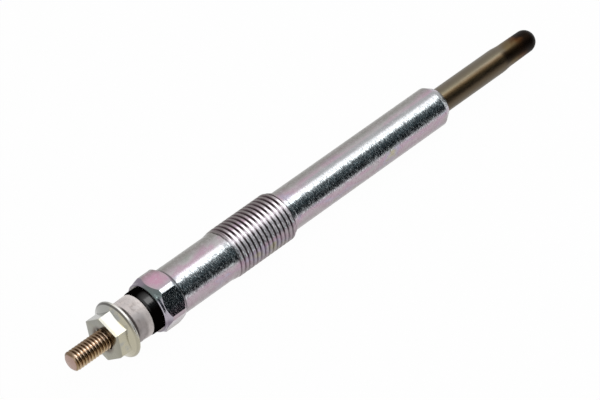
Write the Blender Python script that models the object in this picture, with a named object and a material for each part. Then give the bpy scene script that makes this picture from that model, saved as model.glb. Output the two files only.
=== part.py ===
"""Diesel engine glow plug with an M10 steel shell, a sheathed heating element and an M4 terminal stud.

The plug lies on its side. Its axis runs level along world +X, from the terminal stud to the glowing tip, and
the rim of the terminal nut touches the ground plane. Each turned piece is drawn in its own lathe frame, with
the radius along local +X and the turning axis along local +Z, and all of them hang on one empty that lays the
turning axis down.
"""

import math

import bmesh
import bpy

MM = 0.001
DEGREE = math.pi / 180

# Shell, turned from hexagon bar
HEX_ACROSS_FLATS = 10.0 * MM
HEX_CORNER_DIAMETER = 11.05 * MM
HEX_LENGTH = 6.0 * MM
HEX_CHAMFER_ANGLE = 60 * DEGREE
HEX_TAPER_ANGLE = 27 * DEGREE
END_LAND_DIAMETER = 9.85 * MM
END_LAND_LENGTH = 0.35 * MM
END_LAND_EDGE = 0.15 * MM
UPPER_SHANK_DIAMETER = 9.3 * MM
UPPER_SHANK_LENGTH = 11.3 * MM
THREAD_DIAMETER = 9.88 * MM
THREAD_LENGTH = 16.6 * MM
THREAD_RUN_OUT = 2.0 * MM
THREAD_LEAD_ANGLE = 30 * DEGREE
LOWER_SHANK_DIAMETER = 8.11 * MM
LOWER_SHANK_LENGTH = 39.55 * MM
SEAT_HALF_ANGLE = 31.5 * DEGREE
SEAT_END_DIAMETER = 5.3 * MM
COUNTERBORE_DIAMETER = 6.6 * MM
COUNTERBORE_DEPTH = 7.4 * MM

# Glow tube, closed at the tip and swaged down there
TUBE_DIAMETER = 5.0 * MM
TUBE_WALL = 0.5 * MM
TUBE_IN_SHELL = 29.0 * MM
TUBE_OUTSIDE = 25.75 * MM
SWAGE_LENGTH = 2.4 * MM
TIP_LENGTH = 7.8 * MM
TIP_ROOT_DIAMETER = 4.63 * MM
TIP_END_DIAMETER = 4.5 * MM
SEAL_LENGTH = 2.6 * MM

# Centre rod, with the terminal stud as its outer end
STUD_DIAMETER = 3.9 * MM
STUD_REACH = 7.75 * MM
STUD_CHAMFER = 0.45 * MM
ROD_SEALED_LENGTH = 8.6 * MM
ROD_NECK_DIAMETER = 3.3 * MM
ROD_TAIL_DIAMETER = 2.7 * MM
ROD_TAIL_LEAD = 4.0 * MM
ROD_STEP_ANGLE = 45 * DEGREE
SPIGOT_LENGTH = 2.2 * MM

# Coils, wound to one mean diameter
COIL_DIAMETER = 2.2 * MM
REGULATING_WIRE = 0.40 * MM
REGULATING_PITCH = 0.95 * MM
REGULATING_TURNS = 14
HEATING_WIRE = 0.32 * MM
HEATING_PITCH = 0.80 * MM
HEATING_TURNS = 13
HEATING_BEND = 0.45 * MM
POWDER_END_WALL = 0.5 * MM

# Insulator bush, a flange outside the shell and a sleeve inside it
INSULATOR_DIAMETER = 8.7 * MM
INSULATOR_THICKNESS = 2.0 * MM
INSULATOR_EDGE = 0.45 * MM
SLEEVE_LENGTH = 4.6 * MM
SLEEVE_CHAMFER = 0.3 * MM

# Collar, pinched onto the rod at three places
COLLAR_NUT_END_DIAMETER = 8.3 * MM
COLLAR_SEAT_DIAMETER = 8.46 * MM
COLLAR_LENGTH = 4.45 * MM
COLLAR_EDGE = 0.25 * MM
PINCH_COUNT = 3
PINCH_DEPTH = 0.14 * MM
PINCH_TOOL_RADIUS = 1.1 * MM
PINCH_FROM_SEAT = 1.6 * MM

# Terminal nut, a hexagon with a conical flange
NUT_ACROSS_FLATS = 8.0 * MM
NUT_HEIGHT = 3.95 * MM
NUT_FACE_DIAMETER = 7.5 * MM
NUT_CHAMFER_ANGLE = 30 * DEGREE
FLANGE_DIAMETER = 11.3 * MM
FLANGE_RIM = 0.68 * MM
FLANGE_SLOPE = 29 * DEGREE
FLANGE_EDGE = 0.12 * MM
NUT_COUNTERSINK = 0.35 * MM

# Clearances between pieces
SEAT_GAP = 0.05 * MM
BUSH_FIT = 0.05 * MM
PRESS_FIT = 0.05 * MM
THREAD_FIT = 0.05 * MM
POWDER_FIT = 0.05 * MM
COIL_FIT = 0.06 * MM
RUBBER_FIT = 0.05 * MM

# How far each piece is turned about the axis, from the side that lies lowest
SHELL_HEX_TURN = 24.65 * DEGREE
NUT_HEX_TURN = 47.65 * DEGREE
PINCH_TURN = 56 * DEGREE

# Facets round a turned piece, and what counts as one point or a sharp edge
MERGE_DISTANCE = 0.0001 * MM
SHARP_EDGE = 22 * DEGREE
FACETS_SHELL = 60
FACETS_SMALL = 44
FACETS_HIDDEN = 30
FACETS_RING_SECTION = 10
FACETS_DRILL = 12
COIL_STEPS_PER_TURN = 14
TIP_STEPS = 6
EDGE_STEPS = 3

# Sizes that follow from the ones above
STUD_RADIUS = STUD_DIAMETER / 2
TUBE_RADIUS = TUBE_DIAMETER / 2
TUBE_LENGTH = TUBE_IN_SHELL + TUBE_OUTSIDE
THREAD_LEAD_LENGTH = (THREAD_DIAMETER - LOWER_SHANK_DIAMETER) / 2 / math.tan(THREAD_LEAD_ANGLE)
SEAT_LENGTH = (LOWER_SHANK_DIAMETER - SEAT_END_DIAMETER) / 2 / math.tan(SEAT_HALF_ANGLE)
THREAD_START = HEX_LENGTH + UPPER_SHANK_LENGTH
LOWER_SHANK_START = THREAD_START + THREAD_LENGTH
SEAT_START = LOWER_SHANK_START + LOWER_SHANK_LENGTH
SHELL_LENGTH = SEAT_START + SEAT_LENGTH
BORE_DIAMETER = TUBE_DIAMETER + 2 * PRESS_FIT

# Stations along the axis, counted from the shell's hexagon end
INSULATOR_SEAT = -SEAT_GAP
INSULATOR_FACE = INSULATOR_SEAT - INSULATOR_THICKNESS
COLLAR_SEAT = INSULATOR_FACE - SEAT_GAP
COLLAR_FACE = COLLAR_SEAT - COLLAR_LENGTH
NUT_SEAT = COLLAR_FACE - SEAT_GAP
NUT_FACE = NUT_SEAT - NUT_HEIGHT
STUD_END = NUT_FACE - STUD_REACH
TUBE_MOUTH = SHELL_LENGTH - TUBE_IN_SHELL
TUBE_TIP = TUBE_MOUTH + TUBE_LENGTH
TIP_CENTRE = TUBE_TIP - TIP_END_DIAMETER / 2
HEATING_END = TIP_CENTRE - POWDER_END_WALL - COIL_FIT
HEATING_START = HEATING_END - HEATING_TURNS * HEATING_PITCH - HEATING_BEND
REGULATING_START = HEATING_START - REGULATING_TURNS * REGULATING_PITCH
HEATING_START_ANGLE = 2 * math.pi * REGULATING_TURNS + COIL_FIT / (COIL_DIAMETER / 2)
ROD_SHOULDER = REGULATING_START - REGULATING_WIRE / 2 - COIL_FIT
SPIGOT_END = ROD_SHOULDER + SPIGOT_LENGTH
TAIL_START = TUBE_MOUTH - ROD_TAIL_LEAD
POWDER_START = TUBE_MOUTH + SEAL_LENGTH + SEAT_GAP


def finish(name, colour, roughness, metallic=1.0):
    """A Principled material of one colour."""
    material = bpy.data.materials.new(name)
    material.use_nodes = True
    shader = material.node_tree.nodes["Principled BSDF"]
    shader.inputs["Base Color"].default_value = (*colour, 1.0)
    shader.inputs["Roughness"].default_value = roughness
    shader.inputs["Metallic"].default_value = metallic
    material.diffuse_color = (*colour, 1.0)
    return material


def shaded_mesh(name, shape):
    """Turns a finished shape into a mesh that is smooth round its curves and sharp at its edges."""
    mesh = bpy.data.meshes.new(name)
    shape.to_mesh(mesh)
    shape.free()
    mesh.shade_smooth()
    mesh.set_sharp_from_angle(angle=SHARP_EDGE)
    return mesh


def link(name, data, material=None):
    """An object in the scene's collection, hung on the turning axis."""
    piece = bpy.data.objects.new(name, data)
    bpy.context.scene.collection.objects.link(piece)
    if material:
        data.materials.append(material)
    piece.parent = TURNING_AXIS
    return piece


def turned(name, profile, facets, material=None, closed=False):
    """A lathe piece, spun from a profile of (radius, station) points.

    An open profile starts and ends on the axis and makes a solid bar. A closed one makes a ring. A flat
    facet, not a corner, faces the ground.
    """
    lathe = bmesh.new()
    points = [lathe.verts.new((radius, 0.0, station)) for radius, station in profile]
    ends = points[1:] + points[:1] if closed else points[1:]
    edges = [lathe.edges.new(pair) for pair in zip(points, ends)]
    bmesh.ops.spin(
        lathe,
        geom=points + edges,
        cent=(0, 0, 0),
        axis=(0, 0, 1),
        angle=2 * math.pi,
        steps=facets,
        use_merge=True,
    )
    bmesh.ops.remove_doubles(lathe, verts=lathe.verts[:], dist=MERGE_DISTANCE)
    bmesh.ops.recalc_face_normals(lathe, faces=lathe.faces[:])
    piece = link(name, shaded_mesh(name, lathe), material)
    piece.rotation_euler.z = math.pi / facets
    return piece


def hexagon(name, across_flats, start, end, turn):
    """A six-sided bar between two stations, with a corner at the given turn."""
    bar = bmesh.new()
    corner_radius = across_flats / math.sqrt(3)
    bmesh.ops.create_circle(bar, segments=6, radius=corner_radius, cap_ends=True)
    end_cap = bmesh.ops.extrude_face_region(bar, geom=bar.faces[:])
    raised = [item for item in end_cap["geom"] if isinstance(item, bmesh.types.BMVert)]
    bmesh.ops.translate(bar, verts=raised, vec=(0, 0, end - start))
    bmesh.ops.translate(bar, verts=bar.verts[:], vec=(0, 0, start))
    bmesh.ops.recalc_face_normals(bar, faces=bar.faces[:])
    piece = link(name, shaded_mesh(name, bar))
    piece.rotation_euler.z = turn + math.pi / 2
    return piece


def rod_shape(name, radius, length, facets):
    """A plain cylinder centred on its own origin, for drilling and pressing."""
    solid = bmesh.new()
    bmesh.ops.create_cone(solid, cap_ends=True, segments=facets, radius1=radius, radius2=radius, depth=length)
    return link(name, shaded_mesh(name, solid))


def guide(piece):
    """Keeps a shape that only cuts or joins out of the finished model."""
    piece.hide_render = True
    piece.display_type = "WIRE"
    return piece


def combine(piece, operand, operation):
    """Adds an exact Boolean of the piece with another shape."""
    step = piece.modifiers.new(f"{operation.lower()}_{operand.name}", "BOOLEAN")
    step.operation = operation
    step.solver = "EXACT"
    step.object = guide(operand)


def rounded(radius, station, size, corner):
    """Points of a quarter round that blends an outer cylinder into an end face.

    The corner is "far" or "near", which is the end of the piece that is rounded. Points run from far to near.
    """
    centre_radius = radius - size
    steps = [i / EDGE_STEPS * math.pi / 2 for i in range(EDGE_STEPS + 1)]
    if corner == "far":
        return [(centre_radius + size * math.sin(a), station - size + size * math.cos(a)) for a in steps]
    return [(centre_radius + size * math.cos(a), station + size - size * math.sin(a)) for a in steps]


def make_shell():
    """Steel body: hexagon, shanks, thread blank and seat cone over a stepped bore."""
    zinc = finish("zinc_plate", (0.70, 0.69, 0.70), 0.25)
    shank = UPPER_SHANK_DIAMETER / 2
    thread = THREAD_DIAMETER / 2
    lower = LOWER_SHANK_DIAMETER / 2
    land = END_LAND_DIAMETER / 2
    outline = [
        (0, SHELL_LENGTH),
        (SEAT_END_DIAMETER / 2, SHELL_LENGTH),
        (lower, SEAT_START),
        (lower, LOWER_SHANK_START),
        (thread, LOWER_SHANK_START - THREAD_LEAD_LENGTH),
        (thread, THREAD_START + THREAD_RUN_OUT),
        (shank, THREAD_START),
        (shank, END_LAND_LENGTH),
        (land, END_LAND_LENGTH),
        (land, END_LAND_EDGE),
        (land - END_LAND_EDGE, 0),
        (0, 0),
    ]
    shell = turned("shell", outline, FACETS_SHELL, zinc)

    corner = HEX_CORNER_DIAMETER / 2
    chamfer = math.tan(HEX_CHAMFER_ANGLE)
    taper = math.tan(HEX_TAPER_ANGLE)
    sunk = END_LAND_EDGE
    envelope = [
        (0, HEX_LENGTH + sunk / taper),
        (shank - sunk, HEX_LENGTH + sunk / taper),
        (corner, HEX_LENGTH - (corner - shank) / taper),
        (corner, END_LAND_LENGTH + (corner - land + sunk) / chamfer),
        (land - 2 * sunk, END_LAND_LENGTH - sunk / chamfer),
        (0, END_LAND_LENGTH - sunk / chamfer),
    ]
    chamfers = turned("shell_hex_chamfers", envelope, FACETS_SHELL)
    flats = hexagon("shell_hex", HEX_ACROSS_FLATS, END_LAND_LENGTH / 2, 2 * HEX_LENGTH, SHELL_HEX_TURN)
    combine(flats, chamfers, "INTERSECT")
    combine(shell, flats, "UNION")

    bore = BORE_DIAMETER / 2
    mouth = COUNTERBORE_DIAMETER / 2
    past = END_LAND_EDGE
    stepped = [
        (0, SHELL_LENGTH + past),
        (bore, SHELL_LENGTH + past),
        (bore, COUNTERBORE_DEPTH),
        (mouth, COUNTERBORE_DEPTH),
        (mouth, -past),
        (0, -past),
    ]
    combine(shell, turned("shell_bore", stepped, FACETS_SHELL), "DIFFERENCE")
    return shell


def tube_outline():
    """The glow tube's outer side as (radius, station), from the tip's pole to the mouth."""
    tip_radius = TIP_END_DIAMETER / 2
    angles = [i / TIP_STEPS * math.pi / 2 for i in range(TIP_STEPS + 1)]
    dome = [(tip_radius * math.sin(a), TIP_CENTRE + tip_radius * math.cos(a)) for a in angles]
    swage_end = TUBE_TIP - TIP_LENGTH
    straight = [
        (TIP_ROOT_DIAMETER / 2, swage_end),
        (TUBE_RADIUS, swage_end - SWAGE_LENGTH),
        (TUBE_RADIUS, TUBE_MOUTH),
    ]
    return dome + straight


def inside(outline, depth):
    """The same outline moved towards the axis by a wall's depth, its pole moved back by as much."""
    pole, *rest = outline
    shifted = [(0.0, pole[1] - depth)]
    for radius, station in rest:
        if station > TIP_CENTRE:
            angle = math.atan2(radius, station - TIP_CENTRE)
            shifted.append((radius - depth * math.sin(angle), station - depth * math.cos(angle)))
        else:
            shifted.append((radius - depth, station))
    return shifted


def make_glow_tube():
    """Thin sheath with a domed, swaged tip and an open mouth."""
    heat_steel = finish("heat_resisting_steel", (0.30, 0.27, 0.22), 0.42)
    outer = tube_outline()
    inner = inside(outer, TUBE_WALL)
    return turned("glow_tube", outer + inner[::-1], FACETS_SMALL, heat_steel)


def make_magnesia_fill():
    """Pressed powder: a sleeve outside the coils and a core inside them, joined by a wall behind the tip."""
    magnesia = finish("magnesia", (0.86, 0.85, 0.80), 0.9, 0.0)
    outer = [(r, z) for r, z in inside(tube_outline(), TUBE_WALL + POWDER_FIT) if z > POWDER_START]
    sleeve_radius = TUBE_RADIUS - TUBE_WALL - POWDER_FIT
    rod_hole = ROD_TAIL_DIAMETER / 2 + POWDER_FIT
    widest = max(REGULATING_WIRE, HEATING_WIRE) / 2 + COIL_FIT
    groove_outer = COIL_DIAMETER / 2 + widest
    groove_inner = COIL_DIAMETER / 2 - widest
    groove_end = HEATING_END + COIL_FIT
    core_start = SPIGOT_END + SEAT_GAP
    outline = outer + [
        (sleeve_radius, POWDER_START),
        (rod_hole, POWDER_START),
        (rod_hole, ROD_SHOULDER),
        (groove_outer, ROD_SHOULDER),
        (groove_outer, groove_end),
        (groove_inner, groove_end),
        (groove_inner, core_start),
        (0, core_start),
    ]
    fill = turned("magnesia_fill", outline, FACETS_HIDDEN, magnesia)

    depth = TUBE_TIP - groove_end
    drill = rod_shape("coil_tail_hole", HEATING_WIRE / 2 + COIL_FIT, 2 * depth, FACETS_DRILL)
    radius = COIL_DIAMETER / 2
    angle = HEATING_START_ANGLE + 2 * math.pi * HEATING_TURNS + HEATING_BEND / radius
    drill.location = (radius * math.cos(angle), radius * math.sin(angle), groove_end)
    combine(fill, drill, "DIFFERENCE")
    return fill


def helix(start_station, start_angle, pitch, turns):
    """Right-hand helix on the coils' mean diameter, as (angle, station) points."""
    count = math.ceil(turns * COIL_STEPS_PER_TURN)
    shares = [i / count * turns for i in range(count + 1)]
    return [(start_angle + 2 * math.pi * turn, start_station + pitch * turn) for turn in shares]


def wire(name, route, diameter, material):
    """A round wire along (angle, station) points wrapped on the coils' mean diameter."""
    curve = bpy.data.curves.new(name, "CURVE")
    curve.dimensions = "3D"
    curve.bevel_depth = diameter / 2
    curve.bevel_resolution = 1
    curve.use_fill_caps = True
    spline = curve.splines.new("POLY")
    spline.points.add(len(route) - 1)
    radius = COIL_DIAMETER / 2
    for point, (angle, station) in zip(spline.points, route):
        point.co = (radius * math.cos(angle), radius * math.sin(angle), station, 1.0)
    return link(name, curve, material)


def make_regulating_coil():
    """Rear coil, wound onto the rod's spigot, which limits the current as it warms."""
    nickel = finish("nickel_wire", (0.62, 0.60, 0.56), 0.35)
    route = helix(REGULATING_START, 0.0, REGULATING_PITCH, REGULATING_TURNS)
    return wire("regulating_coil", route, REGULATING_WIRE, nickel)


def make_heating_coil():
    """Front coil, whose last turn bends along the axis and reaches the tip."""
    resistance = finish("resistance_wire", (0.42, 0.36, 0.32), 0.45)
    route = helix(HEATING_START, HEATING_START_ANGLE, HEATING_PITCH, HEATING_TURNS)
    radius = COIL_DIAMETER / 2
    last_angle, last_station = route[-1]
    for i in range(1, TIP_STEPS + 1):
        swing = i / TIP_STEPS * math.pi / 2
        angle = last_angle + HEATING_BEND * math.sin(swing) / radius
        station = last_station + HEATING_BEND * (1 - math.cos(swing))
        route.append((angle, station))
    inner_radius = TIP_END_DIAMETER / 2 - TUBE_WALL
    reach = math.sqrt(inner_radius**2 - (radius + HEATING_WIRE / 2) ** 2)
    route.append((route[-1][0], TIP_CENTRE + reach - COIL_FIT))
    return wire("heating_coil", route, HEATING_WIRE, resistance)


def make_tube_seal():
    """Rubber plug that closes the tube's mouth round the rod."""
    rubber = finish("seal_rubber", (0.05, 0.05, 0.05), 0.7, 0.0)
    outer = TUBE_RADIUS - TUBE_WALL - RUBBER_FIT
    bore = ROD_TAIL_DIAMETER / 2 + RUBBER_FIT
    end = TUBE_MOUTH + SEAL_LENGTH
    outline = [(bore, end), (outer, end), (outer, TUBE_MOUTH), (bore, TUBE_MOUTH)]
    return turned("tube_seal", outline, FACETS_HIDDEN, rubber, True)


def make_centre_rod():
    """Steel rod that carries the current: stud, sealed length, neck, tail and spigot for the rear coil."""
    brass = finish("yellow_passivated_steel", (0.62, 0.47, 0.33), 0.32)
    neck = ROD_NECK_DIAMETER / 2
    tail = ROD_TAIL_DIAMETER / 2
    spigot = (COIL_DIAMETER - REGULATING_WIRE) / 2 - COIL_FIT
    slope = math.tan(ROD_STEP_ANGLE)
    outline = [
        (0, SPIGOT_END),
        (spigot, SPIGOT_END),
        (spigot, ROD_SHOULDER),
        (tail, ROD_SHOULDER),
        (tail, TAIL_START + (neck - tail) / slope),
        (neck, TAIL_START),
        (neck, ROD_SEALED_LENGTH + (STUD_RADIUS - neck) / slope),
        (STUD_RADIUS, ROD_SEALED_LENGTH),
        (STUD_RADIUS, STUD_END + STUD_CHAMFER),
        (STUD_RADIUS - STUD_CHAMFER, STUD_END),
        (0, STUD_END),
    ]
    return turned("centre_rod", outline, FACETS_SMALL, brass)


def make_insulator_bush():
    """Black moulding: a flange with a rounded edge outside the shell and a sleeve in its counterbore."""
    black = finish("black_moulding", (0.02, 0.018, 0.018), 0.2, 0.0)
    flange = INSULATOR_DIAMETER / 2
    sleeve = COUNTERBORE_DIAMETER / 2 - BUSH_FIT
    bore = STUD_RADIUS + BUSH_FIT
    outline = [
        (bore, SLEEVE_LENGTH),
        (sleeve - SLEEVE_CHAMFER, SLEEVE_LENGTH),
        (sleeve, SLEEVE_LENGTH - SLEEVE_CHAMFER),
        (sleeve, INSULATOR_SEAT),
        (flange, INSULATOR_SEAT),
        *rounded(flange, INSULATOR_FACE, INSULATOR_EDGE, "near"),
        (bore, INSULATOR_FACE),
    ]
    return turned("insulator_bush", outline, FACETS_SHELL, black, True)


def make_o_ring():
    """Rubber ring that fills the counterbore between the insulator's sleeve and the step."""
    rubber = finish("o_ring_rubber", (0.03, 0.03, 0.03), 0.6, 0.0)
    wall = COUNTERBORE_DIAMETER / 2
    section = (wall - STUD_RADIUS) / 2 - RUBBER_FIT
    radius = (wall + STUD_RADIUS) / 2
    station = SLEEVE_LENGTH + SEAT_GAP + section
    angles = [2 * math.pi * i / FACETS_RING_SECTION for i in range(FACETS_RING_SECTION)]
    outline = [(radius + section * math.sin(a), station + section * math.cos(a)) for a in angles]
    return turned("o_ring", outline, FACETS_HIDDEN, rubber, True)


def make_crimp_collar():
    """Plain ring that holds the insulator against the shell, pinched onto the rod."""
    plated = finish("satin_plate", (0.74, 0.71, 0.69), 0.38)
    bore = STUD_RADIUS + BUSH_FIT
    outline = [
        (bore, COLLAR_SEAT),
        *rounded(COLLAR_SEAT_DIAMETER / 2, COLLAR_SEAT, COLLAR_EDGE, "far"),
        *rounded(COLLAR_NUT_END_DIAMETER / 2, COLLAR_FACE, COLLAR_EDGE, "near"),
        (bore, COLLAR_FACE),
    ]
    collar = turned("crimp_collar", outline, FACETS_SHELL, plated, True)

    distance = COLLAR_SEAT_DIAMETER / 2 - PINCH_DEPTH + PINCH_TOOL_RADIUS
    for i in range(PINCH_COUNT):
        jaw = rod_shape(f"crimp_jaw_{i + 1}", PINCH_TOOL_RADIUS, COLLAR_SEAT_DIAMETER, FACETS_SMALL)
        angle = PINCH_TURN + 2 * math.pi * i / PINCH_COUNT
        jaw.location = (distance * math.cos(angle), distance * math.sin(angle), COLLAR_SEAT - PINCH_FROM_SEAT)
        jaw.rotation_euler = (math.pi / 2, 0, angle)
        combine(collar, jaw, "DIFFERENCE")
    return collar


def make_flange_nut():
    """Terminal nut: chamfered hexagon on a conical flange, with a plain bore for the stud."""
    zinc = finish("nut_zinc_plate", (0.66, 0.65, 0.60), 0.22)
    rim = FLANGE_DIAMETER / 2
    hub = NUT_ACROSS_FLATS / 2 - 2 * FLANGE_EDGE
    rim_top = NUT_SEAT - FLANGE_RIM
    cone_top = rim_top - (rim - hub) * math.tan(FLANGE_SLOPE)
    flange_outline = [
        (0, NUT_SEAT),
        (rim - FLANGE_EDGE, NUT_SEAT),
        (rim, NUT_SEAT - FLANGE_EDGE),
        (rim, rim_top),
        (hub, cone_top),
        (0, cone_top),
    ]
    nut = turned("flange_nut", flange_outline, FACETS_SHELL, zinc)

    corner = NUT_ACROSS_FLATS / math.sqrt(3) + FLANGE_EDGE
    face = NUT_FACE_DIAMETER / 2
    envelope = [
        (0, NUT_SEAT - FLANGE_RIM / 2),
        (corner, NUT_SEAT - FLANGE_RIM / 2),
        (corner, NUT_FACE + (corner - face) * math.tan(NUT_CHAMFER_ANGLE)),
        (face, NUT_FACE),
        (0, NUT_FACE),
    ]
    chamfer = turned("nut_hex_chamfer", envelope, FACETS_SHELL)
    inner_end = NUT_SEAT - FLANGE_RIM / 3
    flats = hexagon("nut_hex", NUT_ACROSS_FLATS, NUT_FACE - NUT_HEIGHT, inner_end, NUT_HEX_TURN)
    combine(flats, chamfer, "INTERSECT")
    combine(nut, flats, "UNION")

    bore = STUD_RADIUS + THREAD_FIT
    past = NUT_COUNTERSINK
    hole = [
        (0, NUT_SEAT + past),
        (bore, NUT_SEAT + past),
        (bore, NUT_FACE + NUT_COUNTERSINK),
        (bore + NUT_COUNTERSINK + past, NUT_FACE - past),
        (0, NUT_FACE - past),
    ]
    combine(nut, turned("nut_bore", hole, FACETS_SMALL), "DIFFERENCE")
    return nut


for old in list(bpy.data.objects):
    bpy.data.objects.remove(old, do_unlink=True)

TURNING_AXIS = bpy.data.objects.new("turning_axis", None)
bpy.context.scene.collection.objects.link(TURNING_AXIS)
TURNING_AXIS.rotation_euler.y = math.pi / 2
TURNING_AXIS.location.x = -(STUD_END + TUBE_TIP) / 2
TURNING_AXIS.location.z = FLANGE_DIAMETER / 2 * math.cos(math.pi / FACETS_SHELL)

make_shell()
make_glow_tube()
make_centre_rod()
make_magnesia_fill()
make_regulating_coil()
make_heating_coil()
make_tube_seal()
make_o_ring()
make_insulator_bush()
make_crimp_collar()
make_flange_nut()
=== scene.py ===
"""Looks of a diesel glow plug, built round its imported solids.

The plug lies along X, from the terminal stud to the glowing tip. Stations are in millimetres along the axis,
counted from the hexagon end of the shell, as in the solids. Radii are in millimetres from the axis.
"""

import math

import bmesh
import bpy
from mathutils import Matrix, Vector


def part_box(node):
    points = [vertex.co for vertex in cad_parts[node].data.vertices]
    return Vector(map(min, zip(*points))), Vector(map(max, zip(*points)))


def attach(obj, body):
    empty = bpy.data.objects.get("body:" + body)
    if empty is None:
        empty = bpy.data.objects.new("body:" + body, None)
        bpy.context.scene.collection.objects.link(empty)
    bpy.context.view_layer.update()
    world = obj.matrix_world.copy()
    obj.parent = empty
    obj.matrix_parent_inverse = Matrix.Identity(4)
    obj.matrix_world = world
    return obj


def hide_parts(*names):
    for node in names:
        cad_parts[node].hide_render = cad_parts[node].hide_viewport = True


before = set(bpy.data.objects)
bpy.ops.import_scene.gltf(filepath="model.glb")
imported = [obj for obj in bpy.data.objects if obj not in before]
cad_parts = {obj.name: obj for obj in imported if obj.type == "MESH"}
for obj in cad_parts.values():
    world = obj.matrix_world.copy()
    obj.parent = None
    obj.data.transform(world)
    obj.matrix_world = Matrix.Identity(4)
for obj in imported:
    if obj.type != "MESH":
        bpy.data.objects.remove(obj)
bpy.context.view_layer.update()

bl_info = {
    "name": "Diesel glow plug",
    "version": (1, 0, 0),
    "blender": (4, 5, 0),
    "location": "View3D > Sidebar > Glow plug",
    "description": "Builds the threaded, plated and heat-tinted pieces of a diesel glow plug",
    "category": "Object",
}

MM = 0.001
HEX_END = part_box("shell")[0].x
AXIS_HEIGHT = (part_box("flange_nut")[0].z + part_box("flange_nut")[1].z) / 2
RIM_RADIUS = (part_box("flange_nut")[1].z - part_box("flange_nut")[0].z) / 2 / MM

SHELL_SEGMENTS = 144
TUBE_SEGMENTS = 112
ROD_SEGMENTS = 96

# The shell, in millimetres and degrees.
HEX_ACROSS_FLATS = 10.0
HEX_CORNER = 24.65
HEX_CHAMFER_SLOPE = 0.923
UPPER_RADIUS = 4.65
LOWER_RADIUS = 4.055
THREAD_RADIUS = 4.94
THREAD_START = 17.3
THREAD_CUT = THREAD_START - 0.4
THREAD_FULL = 19.3
THREAD_LAST = 32.367
THREAD_END = 33.9
THREAD_TURNS = 13
INSIDE_THREAD = 3.6

# The centre rod.
STUD_RADIUS = 1.95
STUD_TURNS = 15
ROD_RADIUS = 1.65
ROD_STEP = 42.434
TAIL_RADIUS = 1.35
SPIGOT_RADIUS = 0.84
SPIGOT_LENGTH = 2.2

# The terminal nut.
NUT_ACROSS_FLATS = 8.0
NUT_CORNER = 47.65
RIM_EDGE = 0.42

# The collar's crimping dents.
DENT_COUNT = 3
DENT_STATION = -3.7
DENT_ANGLE = 56
DENT_HALF_LENGTH = 0.75
DENT_HALF_ANGLE = 20.0

# The glow tube.
TUBE_RADIUS = 2.5
TUBE_BORE = 2.0
TIP_RADIUS = 2.25
TIP_BORE = 1.75
SWAGE_LENGTH = 2.4
SWAGE_DEPTH = 0.185
SWAGE_FROM_TIP = 7.8

# The stage, in metres and degrees.
FLOOR_RADIUS = 2.4
FLOOR_EDGE = 0.15
FLOOR_RISE = 0.05
CARD_LENGTH = 0.96
CARD_TOP = 0.262
SOFTBOX_WIDTH = 0.212
SOFTBOX_LENGTH = 0.34
SOFTBOX_HEIGHT = 0.40
CAMERA_AZIMUTH = -45.3
CAMERA_ELEVATION = 44.5
CAMERA_LENS = 205.8
AIM_STATION = 38.467
AIM_SHIFT = 0.000043


def length(name, about, millimetres):
    """A size of the plug, shown as a length."""
    return bpy.props.FloatProperty(
        name=name, description=about, default=millimetres * MM, min=0.0, precision=5, unit="LENGTH"
    )


def level(name, about, default):
    """A strength of the light."""
    return bpy.props.FloatProperty(name=name, description=about, default=default, min=0.0)


def colour(name, about, red, green, blue):
    """A colour of a finish."""
    return bpy.props.FloatVectorProperty(
        name=name, description=about, default=(red, green, blue), size=3, min=0.0, max=1.0, subtype="COLOR"
    )


class PlugSizes(bpy.types.PropertyGroup):
    """Sizes that only show in the dressed model."""

    shell_pitch: length("Shell pitch", "Pitch of the M10 thread on the shell", 1.0)
    shell_groove: length("Shell groove", "Depth of the shell's thread", 0.42)
    stud_pitch: length("Stud pitch", "Pitch of the M4 thread on the stud", 0.7)
    stud_groove: length("Stud groove", "Depth of the stud's thread", 0.40)
    edge_round: length("Edge rounding", "Rounding of machined edges", 0.06)
    hex_round: length("Hexagon rounding", "Rounding where the hexagon runs out to the shank", 0.16)
    nut_round: length("Nut rounding", "Rounding of the cold-formed nut's edges", 0.12)
    dent_depth: length("Dent depth", "Depth of the crimping dents in the collar", 0.14)


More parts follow.
